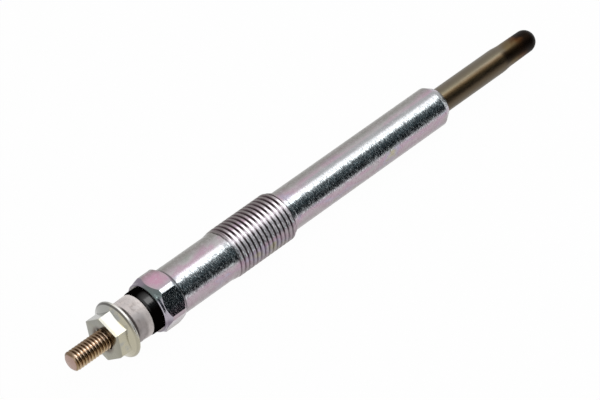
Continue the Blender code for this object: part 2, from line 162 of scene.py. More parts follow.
class PlugColours(bpy.types.PropertyGroup):
    """Colours of the plug's finishes."""

    plate: colour("Plate", "Zinc plate of the shell, where it has no tint", 0.45, 0.415, 0.43)
    plate_pink: colour("Plate, pink tint", "Pink tint of the passivated plate", 0.455, 0.325, 0.395)
    plate_lilac: colour("Plate, lilac tint", "Lilac tint of the passivated plate", 0.42, 0.375, 0.48)
    plate_straw: colour("Plate, straw tint", "Straw tint of the passivated plate", 0.43, 0.39, 0.27)
    plate_green: colour("Plate, green tint", "Green tint of the passivated plate", 0.35, 0.375, 0.345)
    # Painted shade, with some dirt: the darker plate in the thread's grooves.
    plate_groove_dirt_and_shade: colour("Plate, grooves", "Dulled plate in the thread's grooves", 0.14, 0.105, 0.115)
    # Painted reflection: the dark slate shade of the hexagon's chamfer.
    plate_chamfer_shade: colour("Plate, chamfer", "Slate tint of the hexagon's chamfer", 0.075, 0.105, 0.10)
    stud: colour("Stud", "Yellow passivated steel of the stud", 0.46, 0.32, 0.21)
    stud_straw: colour("Stud, straw", "Straw patches on the stud", 0.46, 0.36, 0.20)
    stud_end: colour("Stud, end", "Pinkish end face of the stud", 0.39, 0.27, 0.23)
    # The colour of the stud's thread grooves, darker than the crests.
    stud_dark: colour("Stud, grooves", "Dulled plating in the stud's grooves", 0.16, 0.10, 0.055)
    nut: colour("Nut", "Zinc plate of the terminal nut", 0.35, 0.35, 0.33)
    nut_olive: colour("Nut, olive tint", "Olive tint of the nut's plate", 0.46, 0.43, 0.33)
    collar: colour("Collar", "Satin plate of the crimped collar", 0.71, 0.645, 0.625)
    moulding: colour("Moulding", "Black moulding of the insulator", 0.0022, 0.0016, 0.0015)
    sheath: colour("Sheath", "Heat-resisting steel of the glow tube", 0.175, 0.145, 0.107)
    sheath_straw: colour("Sheath, straw", "First heat tint of the tube", 0.125, 0.085, 0.034)
    sheath_brown: colour("Sheath, brown", "Second heat tint of the tube", 0.080, 0.033, 0.010)
    sheath_scale: colour("Sheath, scale", "Dark oxide at the tube's tip", 0.009, 0.005, 0.003)


class StudioSettings(bpy.types.PropertyGroup):
    """Levels of the light, and the camera's distance."""

    softbox: level("Softbox", "Radiance of the softbox", 2.5)
    fill: level("Fill", "Level of the light from all round", 0.5)
    distance: length("Camera distance", "From the camera to the plug", 624.8)


def at(station):
    """The point of the axis at a station."""
    return Vector((HEX_END + station * MM, 0.0, AXIS_HEIGHT))


def station_of(x):
    """The station of a place on the X axis in metres."""
    return (x - HEX_END) / MM


def begin_edit(piece):
    """Opens one piece for editing, with nothing selected."""
    leave_edit()
    bpy.context.view_layer.objects.active = piece
    piece.select_set(True)
    bpy.ops.object.mode_set(mode="EDIT")
    bpy.ops.mesh.select_mode(type="VERT")
    bpy.ops.mesh.select_all(action="DESELECT")


def leave_edit():
    """Goes back to object mode and deselects everything."""
    if bpy.context.object and bpy.context.object.mode != "OBJECT":
        bpy.ops.object.mode_set(mode="OBJECT")
    bpy.ops.object.select_all(action="DESELECT")


def settle(piece):
    """Merges doubles, turns the faces outwards and puts the piece's place into its mesh."""
    begin_edit(piece)
    bpy.ops.mesh.select_all(action="SELECT")
    bpy.ops.mesh.remove_doubles(threshold=0.0002 * MM)
    bpy.ops.mesh.normals_make_consistent(inside=False)
    leave_edit()
    piece.select_set(True)
    bpy.context.view_layer.objects.active = piece
    bpy.ops.object.transform_apply(location=True, rotation=True, scale=True)
    return piece


def turned(name, profile, segments, ring=False):
    """A lathe piece: one circle, extruded and resized from station to station of a (station, radius) profile.

    A profile that starts or ends on the axis is closed there by a pole. A ring's profile is closed on itself.
    """
    points = [(at(station).x, radius * MM) for station, radius in profile]
    first_pole = points.pop(0)[0] if points[0][1] == 0 else None
    last_pole = points.pop()[0] if points[-1][1] == 0 else None
    start_x, radius = points[0]
    x = start_x
    leave_edit()
    bpy.ops.mesh.primitive_circle_add(
        vertices=segments, radius=radius, location=(x, 0, AXIS_HEIGHT), rotation=(0, math.pi / 2, 0)
    )
    piece = bpy.context.object
    piece.name = piece.data.name = name
    bpy.ops.object.mode_set(mode="EDIT")
    bpy.ops.mesh.select_mode(type="VERT")
    bpy.ops.mesh.select_all(action="SELECT")
    for next_x, next_radius in points[1:] + (points[:1] if ring else []):
        bpy.ops.mesh.extrude_region_move(TRANSFORM_OT_translate={"value": (next_x - x, 0, 0)})
        scale = next_radius / radius
        bpy.ops.transform.resize(value=(1, scale, scale), center_override=(next_x, 0, AXIS_HEIGHT))
        x, radius = next_x, next_radius
    if last_pole is not None:
        bpy.ops.mesh.extrude_region_move(TRANSFORM_OT_translate={"value": (last_pole - x, 0, 0)})
        bpy.ops.mesh.merge(type="CENTER")
    if first_pole is not None:
        bpy.ops.mesh.select_all(action="DESELECT")
        bpy.ops.mesh.select_non_manifold()
        bpy.ops.mesh.extrude_region_move(TRANSFORM_OT_translate={"value": (first_pole - start_x, 0, 0)})
        bpy.ops.mesh.merge(type="CENTER")
    return settle(piece)


def turned_tube(name, outer, outer_pole, inner, inner_pole, segments):
    """A tube closed at one end. Its outside runs from mouth to pole, and its inside from pole to mouth."""
    outside = turned(name, outer + [(outer_pole, 0)], segments)
    inside = turned(name + "_inside", [(inner_pole, 0)] + inner, segments)
    leave_edit()
    outside.select_set(True)
    inside.select_set(True)
    bpy.context.view_layer.objects.active = outside
    bpy.ops.object.join()
    begin_edit(outside)
    bpy.ops.mesh.select_mode(type="EDGE")
    bpy.ops.mesh.select_non_manifold()
    bpy.ops.mesh.bridge_edge_loops()
    leave_edit()
    return settle(outside)


def hexagonal_bar(name, across_flats, start, end, corner):
    """A six-sided bar along the axis, with a corner at an angle from straight down towards +Y."""
    leave_edit()
    turn = Matrix.Rotation(math.radians(corner - 90), 3, "X") @ Matrix.Rotation(math.pi / 2, 3, "Y")
    bpy.ops.mesh.primitive_cylinder_add(
        vertices=6,
        radius=across_flats * MM / math.sqrt(3),
        depth=(end - start) * MM,
        location=at((start + end) / 2),
        rotation=turn.to_euler(),
    )
    piece = bpy.context.object
    piece.name = piece.data.name = name
    return settle(piece)


def combine(piece, other, operation):
    """Joins, cuts or crosses the piece with another, which is used up."""
    leave_edit()
    bpy.context.view_layer.objects.active = piece
    piece.select_set(True)
    bpy.ops.object.modifier_add(type="BOOLEAN")
    step = piece.modifiers[-1]
    step.operation = operation
    step.solver = "EXACT"
    step.object = other
    bpy.ops.object.modifier_apply(modifier=step.name)
    bpy.data.objects.remove(other, do_unlink=True)
    return piece


def round_edges(piece, width, sharper_than=20, segments=2, between=None):
    """Bevels the piece's sharp edges, all of them or those between two stations."""
    begin_edit(piece)
    bpy.ops.mesh.select_mode(type="EDGE")
    mesh = bmesh.from_edit_mesh(piece.data)
    low, high = (at(station).x for station in (between or (-1000, 1000)))
    for edge in mesh.edges:
        inside = all(low <= v.co.x <= high for v in edge.verts)
        if inside and edge.is_manifold and edge.calc_face_angle() > math.radians(sharper_than):
            edge.select_set(True)
    bmesh.update_edit_mesh(piece.data)
    bpy.ops.mesh.bevel(offset=width, segments=segments, affect="EDGES", clamp_overlap=True)
    leave_edit()


def smooth(piece, angle=28):
    """Smooth shading round the curves, sharp at the edges and true on the flats and the long cylinders."""
    leave_edit()
    piece.select_set(True)
    bpy.context.view_layer.objects.active = piece
    bpy.ops.object.shade_smooth_by_angle(angle=math.radians(angle))
    bpy.ops.object.modifier_add(type="WEIGHTED_NORMAL")
    step = piece.modifiers[-1]
    step.keep_sharp = True
    step.weight = 60
    bpy.ops.object.modifier_apply(modifier=step.name)
    piece.select_set(False)


def slice_along(piece, start, end, cuts, outside):
    """Cuts every lengthwise edge between two stations, so that the band has many more rings."""
    begin_edit(piece)
    bpy.ops.mesh.select_mode(type="EDGE")
    mesh = bmesh.from_edit_mesh(piece.data)
    low, high = at(start).x - 1e-6, at(end).x + 1e-6
    for edge in mesh.edges:
        a, b = (v.co for v in edge.verts)
        spans = abs(a.x - b.x) > 0.05 * MM and min(a.x, b.x) > low and max(a.x, b.x) < high
        if spans and math.hypot(a.y, a.z - AXIS_HEIGHT) > outside * MM:
            edge.select_set(True)
    bmesh.update_edit_mesh(piece.data)
    bpy.ops.mesh.subdivide(number_cuts=cuts)
    leave_edit()


def groove_share(phase, crest_share, root_share=0.10):
    """The share of a thread's depth at a phase of its pitch, 0 on the crest and 1 at the root.

    A tenth of it gives the crest a slight crown, and the rest is the smooth flank between crest and root.
    """
    from_crest = 1 - abs((phase % 1.0) - 0.5) * 2
    flank = (from_crest - crest_share) / (1 - crest_share - root_share)
    flank = min(1.0, max(0.0, flank))
    return 0.1 * from_crest * from_crest + 0.9 * flank * flank * (3 - 2 * flank)


def cut_thread(piece, band, crest, groove, pitch, phase=0.0, run_out=0.0, inner=0.0, crest_share=0.16):
    """Moves the band's points in to a right-hand thread under the crest radius.

    The groove reaches its depth over the run-out at its start. Points under the inner radius stay.
    """
    leave_edit()
    low, high = at(band[0]).x - 1e-6, at(band[1]).x + 1e-6
    for v in piece.data.vertices:
        y, z = v.co.y, v.co.z - AXIS_HEIGHT
        radius = math.hypot(y, z)
        if not (low < v.co.x < high) or radius < inner * MM:
            continue
        along = (v.co.x - low) / pitch - math.atan2(z, y) / (2 * math.pi) + phase
        fade = min(1.0, (v.co.x - low) / (run_out * MM)) if run_out else 1.0
        limit = crest * MM - groove * fade * groove_share(along, crest_share)
        if radius > limit:
            v.co.y = y * limit / radius
            v.co.z = AXIS_HEIGHT + z * limit / radius
    piece.data.update()


def arc(centre_station, centre_radius, size, start, end, steps=5):
    """Profile points of an arc, with angles in degrees from the direction of the tip."""
    angles = [math.radians(start + (end - start) * i / steps) for i in range(steps + 1)]
    return [(centre_station + size * math.cos(a), centre_radius + size * math.sin(a)) for a in angles]


def place(piece, nodes):
    """Puts the piece under the root body and hides the solids that it stands for."""
    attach(piece, "root")
    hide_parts(*nodes)


class Value:
    """One number in a finish. Arithmetic on it adds the Math nodes that work it out."""

    def __init__(self, recipe, socket):
        self.recipe = recipe
        self.socket = socket

    def maths(self, operation, *numbers):
        """Adds one Math node."""
        return self.recipe.node("ShaderNodeMath", {"operation": operation}, dict(enumerate(numbers)))

    def __add__(self, other):
        return self.maths("ADD", self, other)

    def __radd__(self, other):
        return self.maths("ADD", other, self)

    def __sub__(self, other):
        return self.maths("SUBTRACT", self, other)

    def __rsub__(self, other):
        return self.maths("SUBTRACT", other, self)

    def __mul__(self, other):
        return self.maths("MULTIPLY", self, other)

    def __rmul__(self, other):
        return self.maths("MULTIPLY", other, self)

    def __truediv__(self, other):
        return self.maths("DIVIDE", self, other)

    def __pow__(self, other):
        return self.maths("POWER", self, other)

    def larger(self, other):
        """The larger of two numbers."""
        return self.maths("MAXIMUM", self, other)


class Recipe:
    """The nodes of one finish."""

    def __init__(self, tree):
        self.tree = tree

    def feed(self, socket, value):
        """Links a value to a socket, or sets the socket to a plain number, colour or vector."""
        if isinstance(value, Value):
            self.tree.links.new(value.socket, socket)
        else:
            socket.default_value = value

    def node(self, kind, settings=None, inputs=None, output=0):
        """Adds a node, sets it up first and then fills its sockets. Returns the value of one output."""
        node = self.tree.nodes.new(kind)
        for key, value in (settings or {}).items():
            if key == "stops":
                ramp = node.color_ramp
                while len(ramp.elements) < len(value):
                    ramp.elements.new(1.0)
                for element, (position, shade) in zip(ramp.elements, value):
                    element.position = position
                    element.color = (*shade, 1.0)
            else:
                setattr(node, key, value)
        for key, value in (inputs or {}).items():
            self.feed(node.inputs[key], value)
        return Value(self, node.outputs[output])

    def millimetres(self, stretch=(1.0, 1.0, 1.0)):
        """The place on the object in millimetres, each axis multiplied by its stretch."""
        here = self.node("ShaderNodeTexCoord", output="Object")
        factors = tuple(share / MM for share in stretch)
        return self.node("ShaderNodeVectorMath", {"operation": "MULTIPLY"}, {0: here, 1: factors})

    def axes(self, vector):
        """The three numbers of a vector."""
        parts = self.node("ShaderNodeSeparateXYZ", inputs={0: vector})
        node = parts.socket.node
        return [Value(self, output) for output in node.outputs]

    def station(self):
        """The station along the plug, and the distance from its axis, in millimetres."""
        x, y, z = self.axes(self.millimetres())
        up = z - AXIS_HEIGHT / MM
        return x - HEX_END / MM, (y * y + up * up) ** 0.5

    def lean(self, angle):
        """How far a point lies to one side of the axis, from -1 to 1.

        The side's angle is counted from straight up and grows towards -Y.
        """
        _, y, z = self.axes(self.millimetres())
        up = z - AXIS_HEIGHT / MM
        turn = math.radians(angle)
        return (up * math.cos(turn) - y * math.sin(turn)) / ((y * y + up * up) ** 0.5).larger(0.01)

    def side(self, angle, low, high, most=1.0):
        """A soft mask of one side of the plug: 0 up to the low lean, and its most from the high one."""
        return self.ease(self.lean(angle), low, high, 0.0, most)

    def spot(self, station, radius, angle, size):
        """A soft round spot, 1 in its middle, at a place on the side of the plug."""
        turn = math.radians(angle)
        across, up = -radius * math.sin(turn), radius * math.cos(turn)
        middle = (HEX_END / MM + station, across, AXIS_HEIGHT / MM + up)
        ends = {0: self.millimetres(), 1: middle}
        apart = self.node("ShaderNodeVectorMath", {"operation": "DISTANCE"}, ends, output=1)
        return self.ease(apart, size, size * 0.2)

    def noise(self, size, stretch=(1.0, 1.0, 1.0), detail=3.0, roughness=0.55, distortion=0.0):
        """Soft noise with features of a size in millimetres."""
        return self.node(
            "ShaderNodeTexNoise",
            {"noise_dimensions": "3D"},
            {
                "Vector": self.millimetres(stretch),
                "Scale": 1 / size,
                "Detail": detail,
                "Roughness": roughness,
                "Distortion": distortion,
            },
        )

    def ease(self, value, low, high, to_low=0.0, to_high=1.0):
        """The value mapped smoothly from one range to another, and held at its ends."""
        return self.node(
            "ShaderNodeMapRange",
            {"interpolation_type": "SMOOTHSTEP"},
            {"Value": value, "From Min": low, "From Max": high, "To Min": to_low, "To Max": to_high},
        )

    def ramp(self, value, stops):
        """A colour picked by a value."""
        return self.node("ShaderNodeValToRGB", {"stops": stops}, {0: value})

    def blend(self, share, one, other):
        """One colour passing into another."""
        colours = {0: share, 6: opaque(one), 7: opaque(other)}
        return self.node("ShaderNodeMix", {"data_type": "RGBA"}, colours, output=2)

    def relief(self, height, depth, strength):
        """A normal bent by a height, whose full depth is in millimetres."""
        bump = {"Strength": strength, "Distance": depth * MM, "Height": height}
        return self.node("ShaderNodeBump", inputs=bump)


def opaque(shade):
    """A colour with its alpha, or a value as it is."""
    return shade if isinstance(shade, Value) else (*shade, 1.0)


def new_material(name):
    """A new material, with its recipe and its Principled shader."""
    material = bpy.data.materials.new(name)
    material.use_nodes = True
    return material, Recipe(material.node_tree), material.node_tree.nodes["Principled BSDF"]


def finish(name, base, roughness, normal, metallic=1.0, coat=None, **constants):
    """A Principled material from a recipe's values. Constants are socket names with numbers."""
    material, recipe, shader = new_material(name)
    inputs = {"Base Color": base(recipe), "Roughness": roughness(recipe), "Metallic": metallic}
    inputs["Normal"] = normal(recipe)
    if coat:
        inputs["Coat Weight"] = coat(recipe)
    for socket, value in inputs.items():
        recipe.feed(shader.inputs[socket], value)
    for socket, value in constants.items():
        shader.inputs[socket.replace("_", " ")].default_value = value
    return material


def wear(piece, material):
    """Gives a piece its only material."""
    piece.data.materials.clear()
    piece.data.materials.append(material)


def bright_plate(colours):
    """Zinc plate with interference tints and crystals rubbed across the axis, painted shade, tones, glints
    and highlights by side, and painted shade with some dirt in the thread grooves.
    """

    def tints(recipe):
        """Tints that drift over the plate and a pink bloom on the hexagon, with painted shade by side and on
        the far streak.
        """
        drift = recipe.noise(4.6, (0.5, 1.0, 1.0), detail=3.0, roughness=0.6, distortion=0.4)
        drift = drift + recipe.ease(recipe.lean(118), -0.3, 0.9, -0.02, 0.09)
        stops = [(0.33, colours.plate_green), (0.44, colours.plate), (0.56, colours.plate_pink)]
        stops += [(0.63, colours.plate_lilac), (0.72, colours.plate_straw)]
        plate = recipe.ramp(drift, stops)
        # Painted tone: bluish grey on the side facing the camera, where the dark reflected band falls.
        plate = recipe.blend(recipe.side(38, 0.85, 0.97, 0.85), plate, (0.395, 0.425, 0.44))
        station, _ = recipe.station()
        # Painted shade: the lit streak is dimmed on the lower shank next to the thread.
        painted_far_streak_shade = recipe.ease(station, 34.0, 42.0) * recipe.side(18, 0.93, 0.98)
        plate = recipe.blend(painted_far_streak_shade * 0.9, plate, (0.325, 0.335, 0.345))
        # Painted shade: darker on the top towards the back, and on the underside.
        plate = recipe.blend(recipe.side(-48, 0.62, 0.97, 0.95), plate, (0.215, 0.205, 0.190))
        plate = recipe.blend(recipe.side(140, 0.35, 1.0, 0.9), plate, (0.255, 0.225, 0.225))
        bloom = recipe.spot(2.7, 5.2, -5.4, 3.4) * recipe.ease(recipe.noise(1.6), 0.30, 0.55, 0.6, 1.0)
        return recipe.blend(bloom * 0.9, plate, (0.54, 0.30, 0.41))

    def speckle(recipe, plate):
        """Pale flecks all over, and painted glints and dark painted reflections in a crystal pattern on the
        side that faces out and up.
        """
        flecks = recipe.ease(recipe.noise(0.55, detail=4.0, roughness=0.65), 0.45, 0.72, 0.0, 0.25)
        plate = recipe.blend(flecks, plate, (0.58, 0.57, 0.58))
        rubbed = recipe.ease(recipe.noise(0.42, (1.8, 0.8, 0.8), detail=3.0, roughness=0.7), 0.40, 0.62)
        # Painted glints and painted dark reflections, only on the side facing out and up.
        painted_sparkle_side = recipe.side(46, 0.88, 0.96)
        plate = recipe.blend(painted_sparkle_side * rubbed * 0.8, plate, (0.88, 0.95, 0.97))
        return recipe.blend(painted_sparkle_side * (1 - rubbed) * 0.7, plate, (0.12, 0.135, 0.145))

    def hexagon_painted_shade(recipe, plate):
        """Painted reflection and shade on the hexagon's chamfered end, and painted shade in the crease where
        it runs out to the shank.
        """
        station, radius = recipe.station()
        chamfer = recipe.ease(radius - station * HEX_CHAMFER_SLOPE, 4.27, 4.35)
        chamfer = chamfer * recipe.ease(radius, 4.60, 4.66)
        # Painted reflection and shade on the chamfer: darkest slate near the top, greyer lilac further round,
        # pale lilac low on the camera side.
        painted_chamfer_tones = recipe.blend(recipe.side(15, 0.97, 0.80), colours.plate_chamfer_shade, (0.20, 0.17, 0.215))
        painted_chamfer_tones = recipe.blend(recipe.side(62, 0.85, 0.96), painted_chamfer_tones, (0.40, 0.375, 0.43))
        plate = recipe.blend(chamfer * 0.85, plate, painted_chamfer_tones)
        # Painted shade in the crease where the hexagon runs out to the shank.
        painted_crease_shade = recipe.ease(station, 4.75, 4.95) * recipe.ease(station, 5.55, 5.35)
        painted_crease_shade = painted_crease_shade * recipe.ease(radius, 5.0, 4.9)
        return recipe.blend(painted_crease_shade * 0.75, plate, (0.08, 0.075, 0.08))

    def thread_highlight_and_shade(recipe, plate):
        """Painted highlights on the crests and in the lit streak, and painted shade on the top and, with some
        dirt, in the grooves above and below them.
        """
        station, radius = recipe.station()
        threaded = recipe.ease(station, 18.2, 19.4) * recipe.ease(station, 32.9, 32.5)
        # Painted highlight: crests on the lit side, and the whole thread in the brightest streak, are painted
        # pale.
        crest = recipe.ease(radius, 4.88, 4.925) * recipe.side(34, 0.86, 0.94)
        crest = crest.larger(recipe.side(20, 0.94, 0.98)) * threaded
        plate = recipe.blend(crest * 0.85, plate, (0.95, 0.89, 0.93))
        # Painted shade: the top of the thread is darkened.
        painted_top_shade = recipe.side(-24, 0.93, 0.99, 0.45)
        plate = recipe.blend(threaded * painted_top_shade, plate, (0.13, 0.10, 0.105))
        # Painted shade, with some dirt: the grooves darken above and below the lit streak, but not in it.
        above = recipe.side(-14, 0.78, 0.93)
        below = recipe.side(54, 0.87, 0.96, 0.95)
        groove_dirt_and_shade = recipe.ease(radius, 4.90, 4.68) * below + recipe.ease(radius, 4.935, 4.90) * above
        return recipe.blend(groove_dirt_and_shade * threaded, plate, colours.plate_groove_dirt_and_shade)

    def tint(recipe):
        plate = speckle(recipe, tints(recipe))
        return thread_highlight_and_shade(recipe, hexagon_painted_shade(recipe, plate))

    def gloss(recipe):
        station, _ = recipe.station()
        crystals = recipe.noise(0.38, (2.2, 0.7, 0.7), detail=3.0, roughness=0.65)
        patches = recipe.noise(4.0, (0.6, 1.0, 1.0), detail=2.0)
        dull = recipe.ease(patches, 0.4, 0.65, 0.0, 0.03) + recipe.ease(station, 5.0, 5.6, 0.0, 0.05)
        worn = recipe.ease(station, 18.4, 19.4, 0.0, 0.22) * recipe.ease(station, 33.0, 32.4)
        return 0.16 + recipe.ease(crystals, 0.48, 0.68, 0.0, 0.26) + dull + worn

    def surface(recipe):
        grain = recipe.noise(0.30, (2.0, 0.7, 0.7), detail=3.0, roughness=0.6)
        rings = recipe.noise(0.16, (1.0, 0.05, 0.05), detail=1.0)
        return recipe.relief(grain + rings * 0.35, 0.006, 0.55)

    return finish("bright_plate", tint, gloss, surface)


def stud_finish(colours):
    """Yellow passivated steel, darker in the grooves and pinkish on the end face, with a painted highlight
    and painted shade by side.
    """

    def tint(recipe):
        patches = recipe.ease(recipe.noise(0.9, detail=3.0), 0.35, 0.65)
        metal = recipe.blend(patches, colours.stud, colours.stud_straw)
        # Painted light: a dark brown band facing the camera, a painted highlight on the lit side and painted
        # shade on the top.
        metal = recipe.blend(recipe.side(50, 0.80, 0.97, 0.75), metal, (0.25, 0.15, 0.07))
        metal = recipe.blend(recipe.side(10, 0.75, 0.93) * 0.9, metal, (0.95, 0.74, 0.57))
        metal = recipe.blend(recipe.side(-40, 0.35, 0.85, 0.9), metal, (0.15, 0.095, 0.055))
        station, radius = recipe.station()
        # The grooves take a darker colour.
        grooved = recipe.blend(recipe.ease(radius, 1.88, 1.62, 0.0, 0.7), metal, colours.stud_dark)
        return recipe.blend(recipe.ease(station, -18.15, -18.28), grooved, colours.stud_end)

    def gloss(recipe):
        return 0.19 + recipe.ease(recipe.noise(0.3, detail=3.0), 0.35, 0.7, 0.0, 0.18)

    def surface(recipe):
        return recipe.relief(recipe.noise(0.22, detail=3.0), 0.010, 0.6)

    return finish("passivated_stud", tint, gloss, surface)


def nut_finish(colours):
    """Zinc plate on a cold-formed nut, with soft tool marks, greyer above and lighter olive below by painted
    reflection, and painted shade and highlights.
    """

    def tint(recipe):
        drift = recipe.noise(2.6, detail=3.0, roughness=0.6)
        # Painted reflection: the side below and towards the camera is pushed to the lighter olive shade.
        drift = drift + recipe.ease(recipe.lean(95), -0.3, 0.6, -0.12, 0.16)
        plate = recipe.blend(recipe.ease(drift, 0.38, 0.62), colours.nut, colours.nut_olive)
        station, radius = recipe.station()
        # Painted shade: the front face is darker.
        painted_front_shade = recipe.ease(station, -9.9, -10.15, 0.0, 0.75)
        plate = recipe.blend(painted_front_shade, plate, (0.25, 0.245, 0.21))
        # Painted reflection and shadow of the stud, dark brown round it on the nut's front face.
        painted_stud_reflection = recipe.ease(radius, 3.1, 2.1) * recipe.ease(station, -10.3, -10.45)
        plate = recipe.blend(painted_stud_reflection * 0.85, plate, (0.09, 0.06, 0.045))
        # Painted shade: a dark line where the flange's cone meets its rim, strongest on top.
        painted_edge_shade = recipe.ease(radius, 5.22, 5.36) * recipe.ease(station, -7.15, -7.25)
        painted_edge_shade = painted_edge_shade * recipe.ease(recipe.lean(-5), 0.3, 0.9, 0.2, 0.85)
        plate = recipe.blend(painted_edge_shade, plate, (0.09, 0.085, 0.08))
        # Painted highlight: the flange's rim is pale on the lit side.
        painted_rim_highlight = recipe.ease(station, -7.25, -7.12) * recipe.side(26, 0.62, 0.97)
        return recipe.blend(painted_rim_highlight * 0.9, plate, (0.92, 0.90, 0.87))

    def gloss(recipe):
        station, _ = recipe.station()
        marks = recipe.ease(recipe.noise(0.8, detail=4.0, roughness=0.6), 0.4, 0.7, 0.0, 0.08)
        return 0.15 + marks + recipe.ease(station, -7.25, -7.12, 0.0, 0.25)

    def surface(recipe):
        marks = recipe.noise(0.9, (0.25, 1.0, 1.0), detail=3.0, roughness=0.5)
        return recipe.relief(marks, 0.005, 0.35)

    return finish("zinc_plated_nut", tint, gloss, surface)


def collar_finish(colours):
    """Satin plate with fine rings left by turning and a few rubbed marks, painted shade below and by the nut,
    and a painted lighter band.
    """

    def tint(recipe):
        drift = recipe.ease(recipe.noise(2.2, (0.5, 1.0, 1.0), detail=3.0), 0.35, 0.65)
        plate = recipe.blend(drift, colours.collar, (0.66, 0.62, 0.615))
        rubbed = recipe.noise(0.8, (0.9, 0.5, 0.5), detail=4.0, roughness=0.7)
        plate = recipe.blend(recipe.ease(rubbed, 0.48, 0.66, 0.0, 0.7), plate, (0.38, 0.34, 0.32))
        # Painted shade: the lower side is darker.
        plate = recipe.blend(recipe.side(95, 0.3, 0.95, 0.6), plate, (0.30, 0.265, 0.26))
        station, _ = recipe.station()
        # Painted light: a lighter band on the collar towards the insulator.
        plate = recipe.blend(recipe.ease(station, -3.9, -3.0, 0.0, 0.6), plate, (0.84, 0.78, 0.755))
        # Painted shadow: a dark line in the gap by the nut, on the side facing the camera.
        painted_gap_shadow = recipe.ease(station, -5.42, -5.62) * recipe.side(40, 0.5, 0.85)
        return recipe.blend(painted_gap_shadow * 0.9, plate, (0.045, 0.035, 0.03))

    def gloss(recipe):
        return 0.62 + recipe.ease(recipe.noise(0.6, detail=3.0), 0.35, 0.7, 0.0, 0.12)

    def surface(recipe):
        rings = recipe.noise(0.12, (1.0, 0.04, 0.04), detail=2.0)
        grain = recipe.noise(0.4, detail=3.0)
        return recipe.relief(rings * 0.5 + grain, 0.010, 0.5)

    return finish("satin_plate", tint, gloss, surface, metallic=0.6)


def moulding_finish(colours):
    """Black moulding with a faint flow mottle and dust, polished where it was handled."""

    def tint(recipe):
        dust = recipe.noise(0.25, detail=4.0, roughness=0.7)
        return recipe.blend(recipe.ease(dust, 0.64, 0.82, 0.0, 0.5), colours.moulding, (0.02, 0.016, 0.015))

    def gloss(recipe):
        return 0.10 + recipe.ease(recipe.noise(0.7, detail=3.0), 0.4, 0.75, 0.0, 0.10)

    def surface(recipe):
        return recipe.relief(recipe.noise(1.6, detail=2.0), 0.015, 0.3)

    def polish(recipe):
        return recipe.spot(-1.0, 4.35, 20, 2.4).larger(recipe.side(-144, 0.1, 0.8, 0.5))

    coating = {"Specular_IOR_Level": 0.0, "Coat_IOR": 1.6, "Coat_Roughness": 0.2}
    return finish("black_moulding", tint, gloss, surface, metallic=0.0, coat=polish, **coating)


def sheath_finish(colours):
    """Heat-resisting steel, drawn lengthwise, with heat tints that end in dark scale at the tip, and painted
    shade by side and on the swage.
    """

    def tint(recipe):
        drift = recipe.ease(recipe.noise(3.0, (0.3, 1.0, 1.0), detail=3.0), 0.35, 0.65)
        metal = recipe.blend(drift, colours.sheath, (0.165, 0.145, 0.098))
        # Painted shade: darker on the top, in the band facing the camera and on the underside.
        metal = recipe.blend(recipe.side(-45, 0.3, 0.9, 0.7), metal, (0.140, 0.118, 0.093))
        metal = recipe.blend(recipe.side(50, 0.80, 0.98, 0.85), metal, (0.10, 0.058, 0.022))
        metal = recipe.blend(recipe.side(110, 0.2, 0.75, 0.8), metal, (0.105, 0.080, 0.053))
        station, _ = recipe.station()
        waver = station + recipe.ease(recipe.noise(1.6, detail=3.0), 0.3, 0.7, -0.5, 0.5)
        metal = recipe.blend(recipe.ease(waver, 91.8, 94.2, 0.0, 0.8), metal, colours.sheath_straw)
        metal = recipe.blend(recipe.ease(waver, 94.6, 96.8), metal, colours.sheath_brown)
        # Painted shade: the swaged narrowing is nearly black on the side facing the camera.
        swage = recipe.ease(station, 91.2, 92.6) * recipe.side(50, 0.76, 0.97)
        metal = recipe.blend(swage * 0.9, metal, (0.012, 0.006, 0.003))
        return recipe.blend(recipe.ease(waver, 96.2, 98.2), metal, colours.sheath_scale)

    def gloss(recipe):
        station, _ = recipe.station()
        drawn = recipe.noise(0.5, (0.12, 1.0, 1.0), detail=4.0, roughness=0.6)
        return 0.36 + recipe.ease(drawn, 0.35, 0.7, 0.0, 0.10) + recipe.ease(station, 91.0, 97.0, 0.0, 0.12)

    def surface(recipe):
        drawn = recipe.noise(0.25, (0.08, 1.0, 1.0), detail=3.0)
        grain = recipe.noise(0.3, detail=3.0)
        return recipe.relief(drawn + grain * 0.6, 0.008, 0.5)

    return finish("heat_tinted_sheath", tint, gloss, surface)


def simple_finish(name, one, other, size, rough, metallic, depth):
    """A finish for the pieces inside: two close shades mottled at one size, with a relief of a depth."""

    def tint(recipe):
        return recipe.blend(recipe.ease(recipe.noise(size, detail=4.0), 0.35, 0.65), one, other)

    def gloss(recipe):
        return rough + recipe.ease(recipe.noise(size / 2, detail=3.0), 0.35, 0.7, 0.0, 0.12)

    def surface(recipe):
        return recipe.relief(recipe.noise(size / 3, detail=4.0), depth, 0.6)

    return finish(name, tint, gloss, surface, metallic=metallic)


